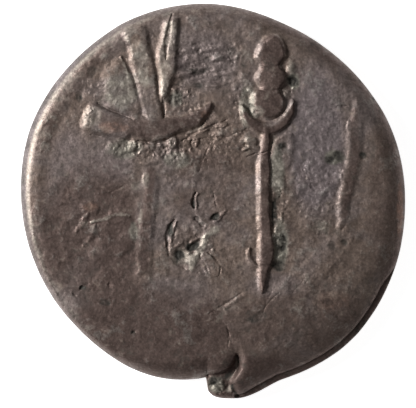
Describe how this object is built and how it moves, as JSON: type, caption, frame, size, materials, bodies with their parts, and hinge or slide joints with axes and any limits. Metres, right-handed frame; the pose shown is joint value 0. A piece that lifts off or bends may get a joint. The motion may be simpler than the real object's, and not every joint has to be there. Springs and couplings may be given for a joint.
{
  "type": "denarius coin",
  "caption": "Worn, dark-toned struck silver coin, off-centre: eagle and standard side up, old punch mark, edge split, war galley below.",
  "frame": {"origin": "on the surface the coin lies on, under the middle of its outline's box", "axes": "+Z out of the standards side, +Y along the poles of the standards towards their heads, +X to the right of that side"},
  "size_m": [0.0178, 0.0184, 0.0018],
  "materials": {
    "toned_silver": "old silver with a dark brown to purple-grey tone, paler where it is rubbed and blackish green in its hollows"
  },
  "bodies": {
    "root": {"denarius": "toned_silver"}
  },
  "joints": []
}
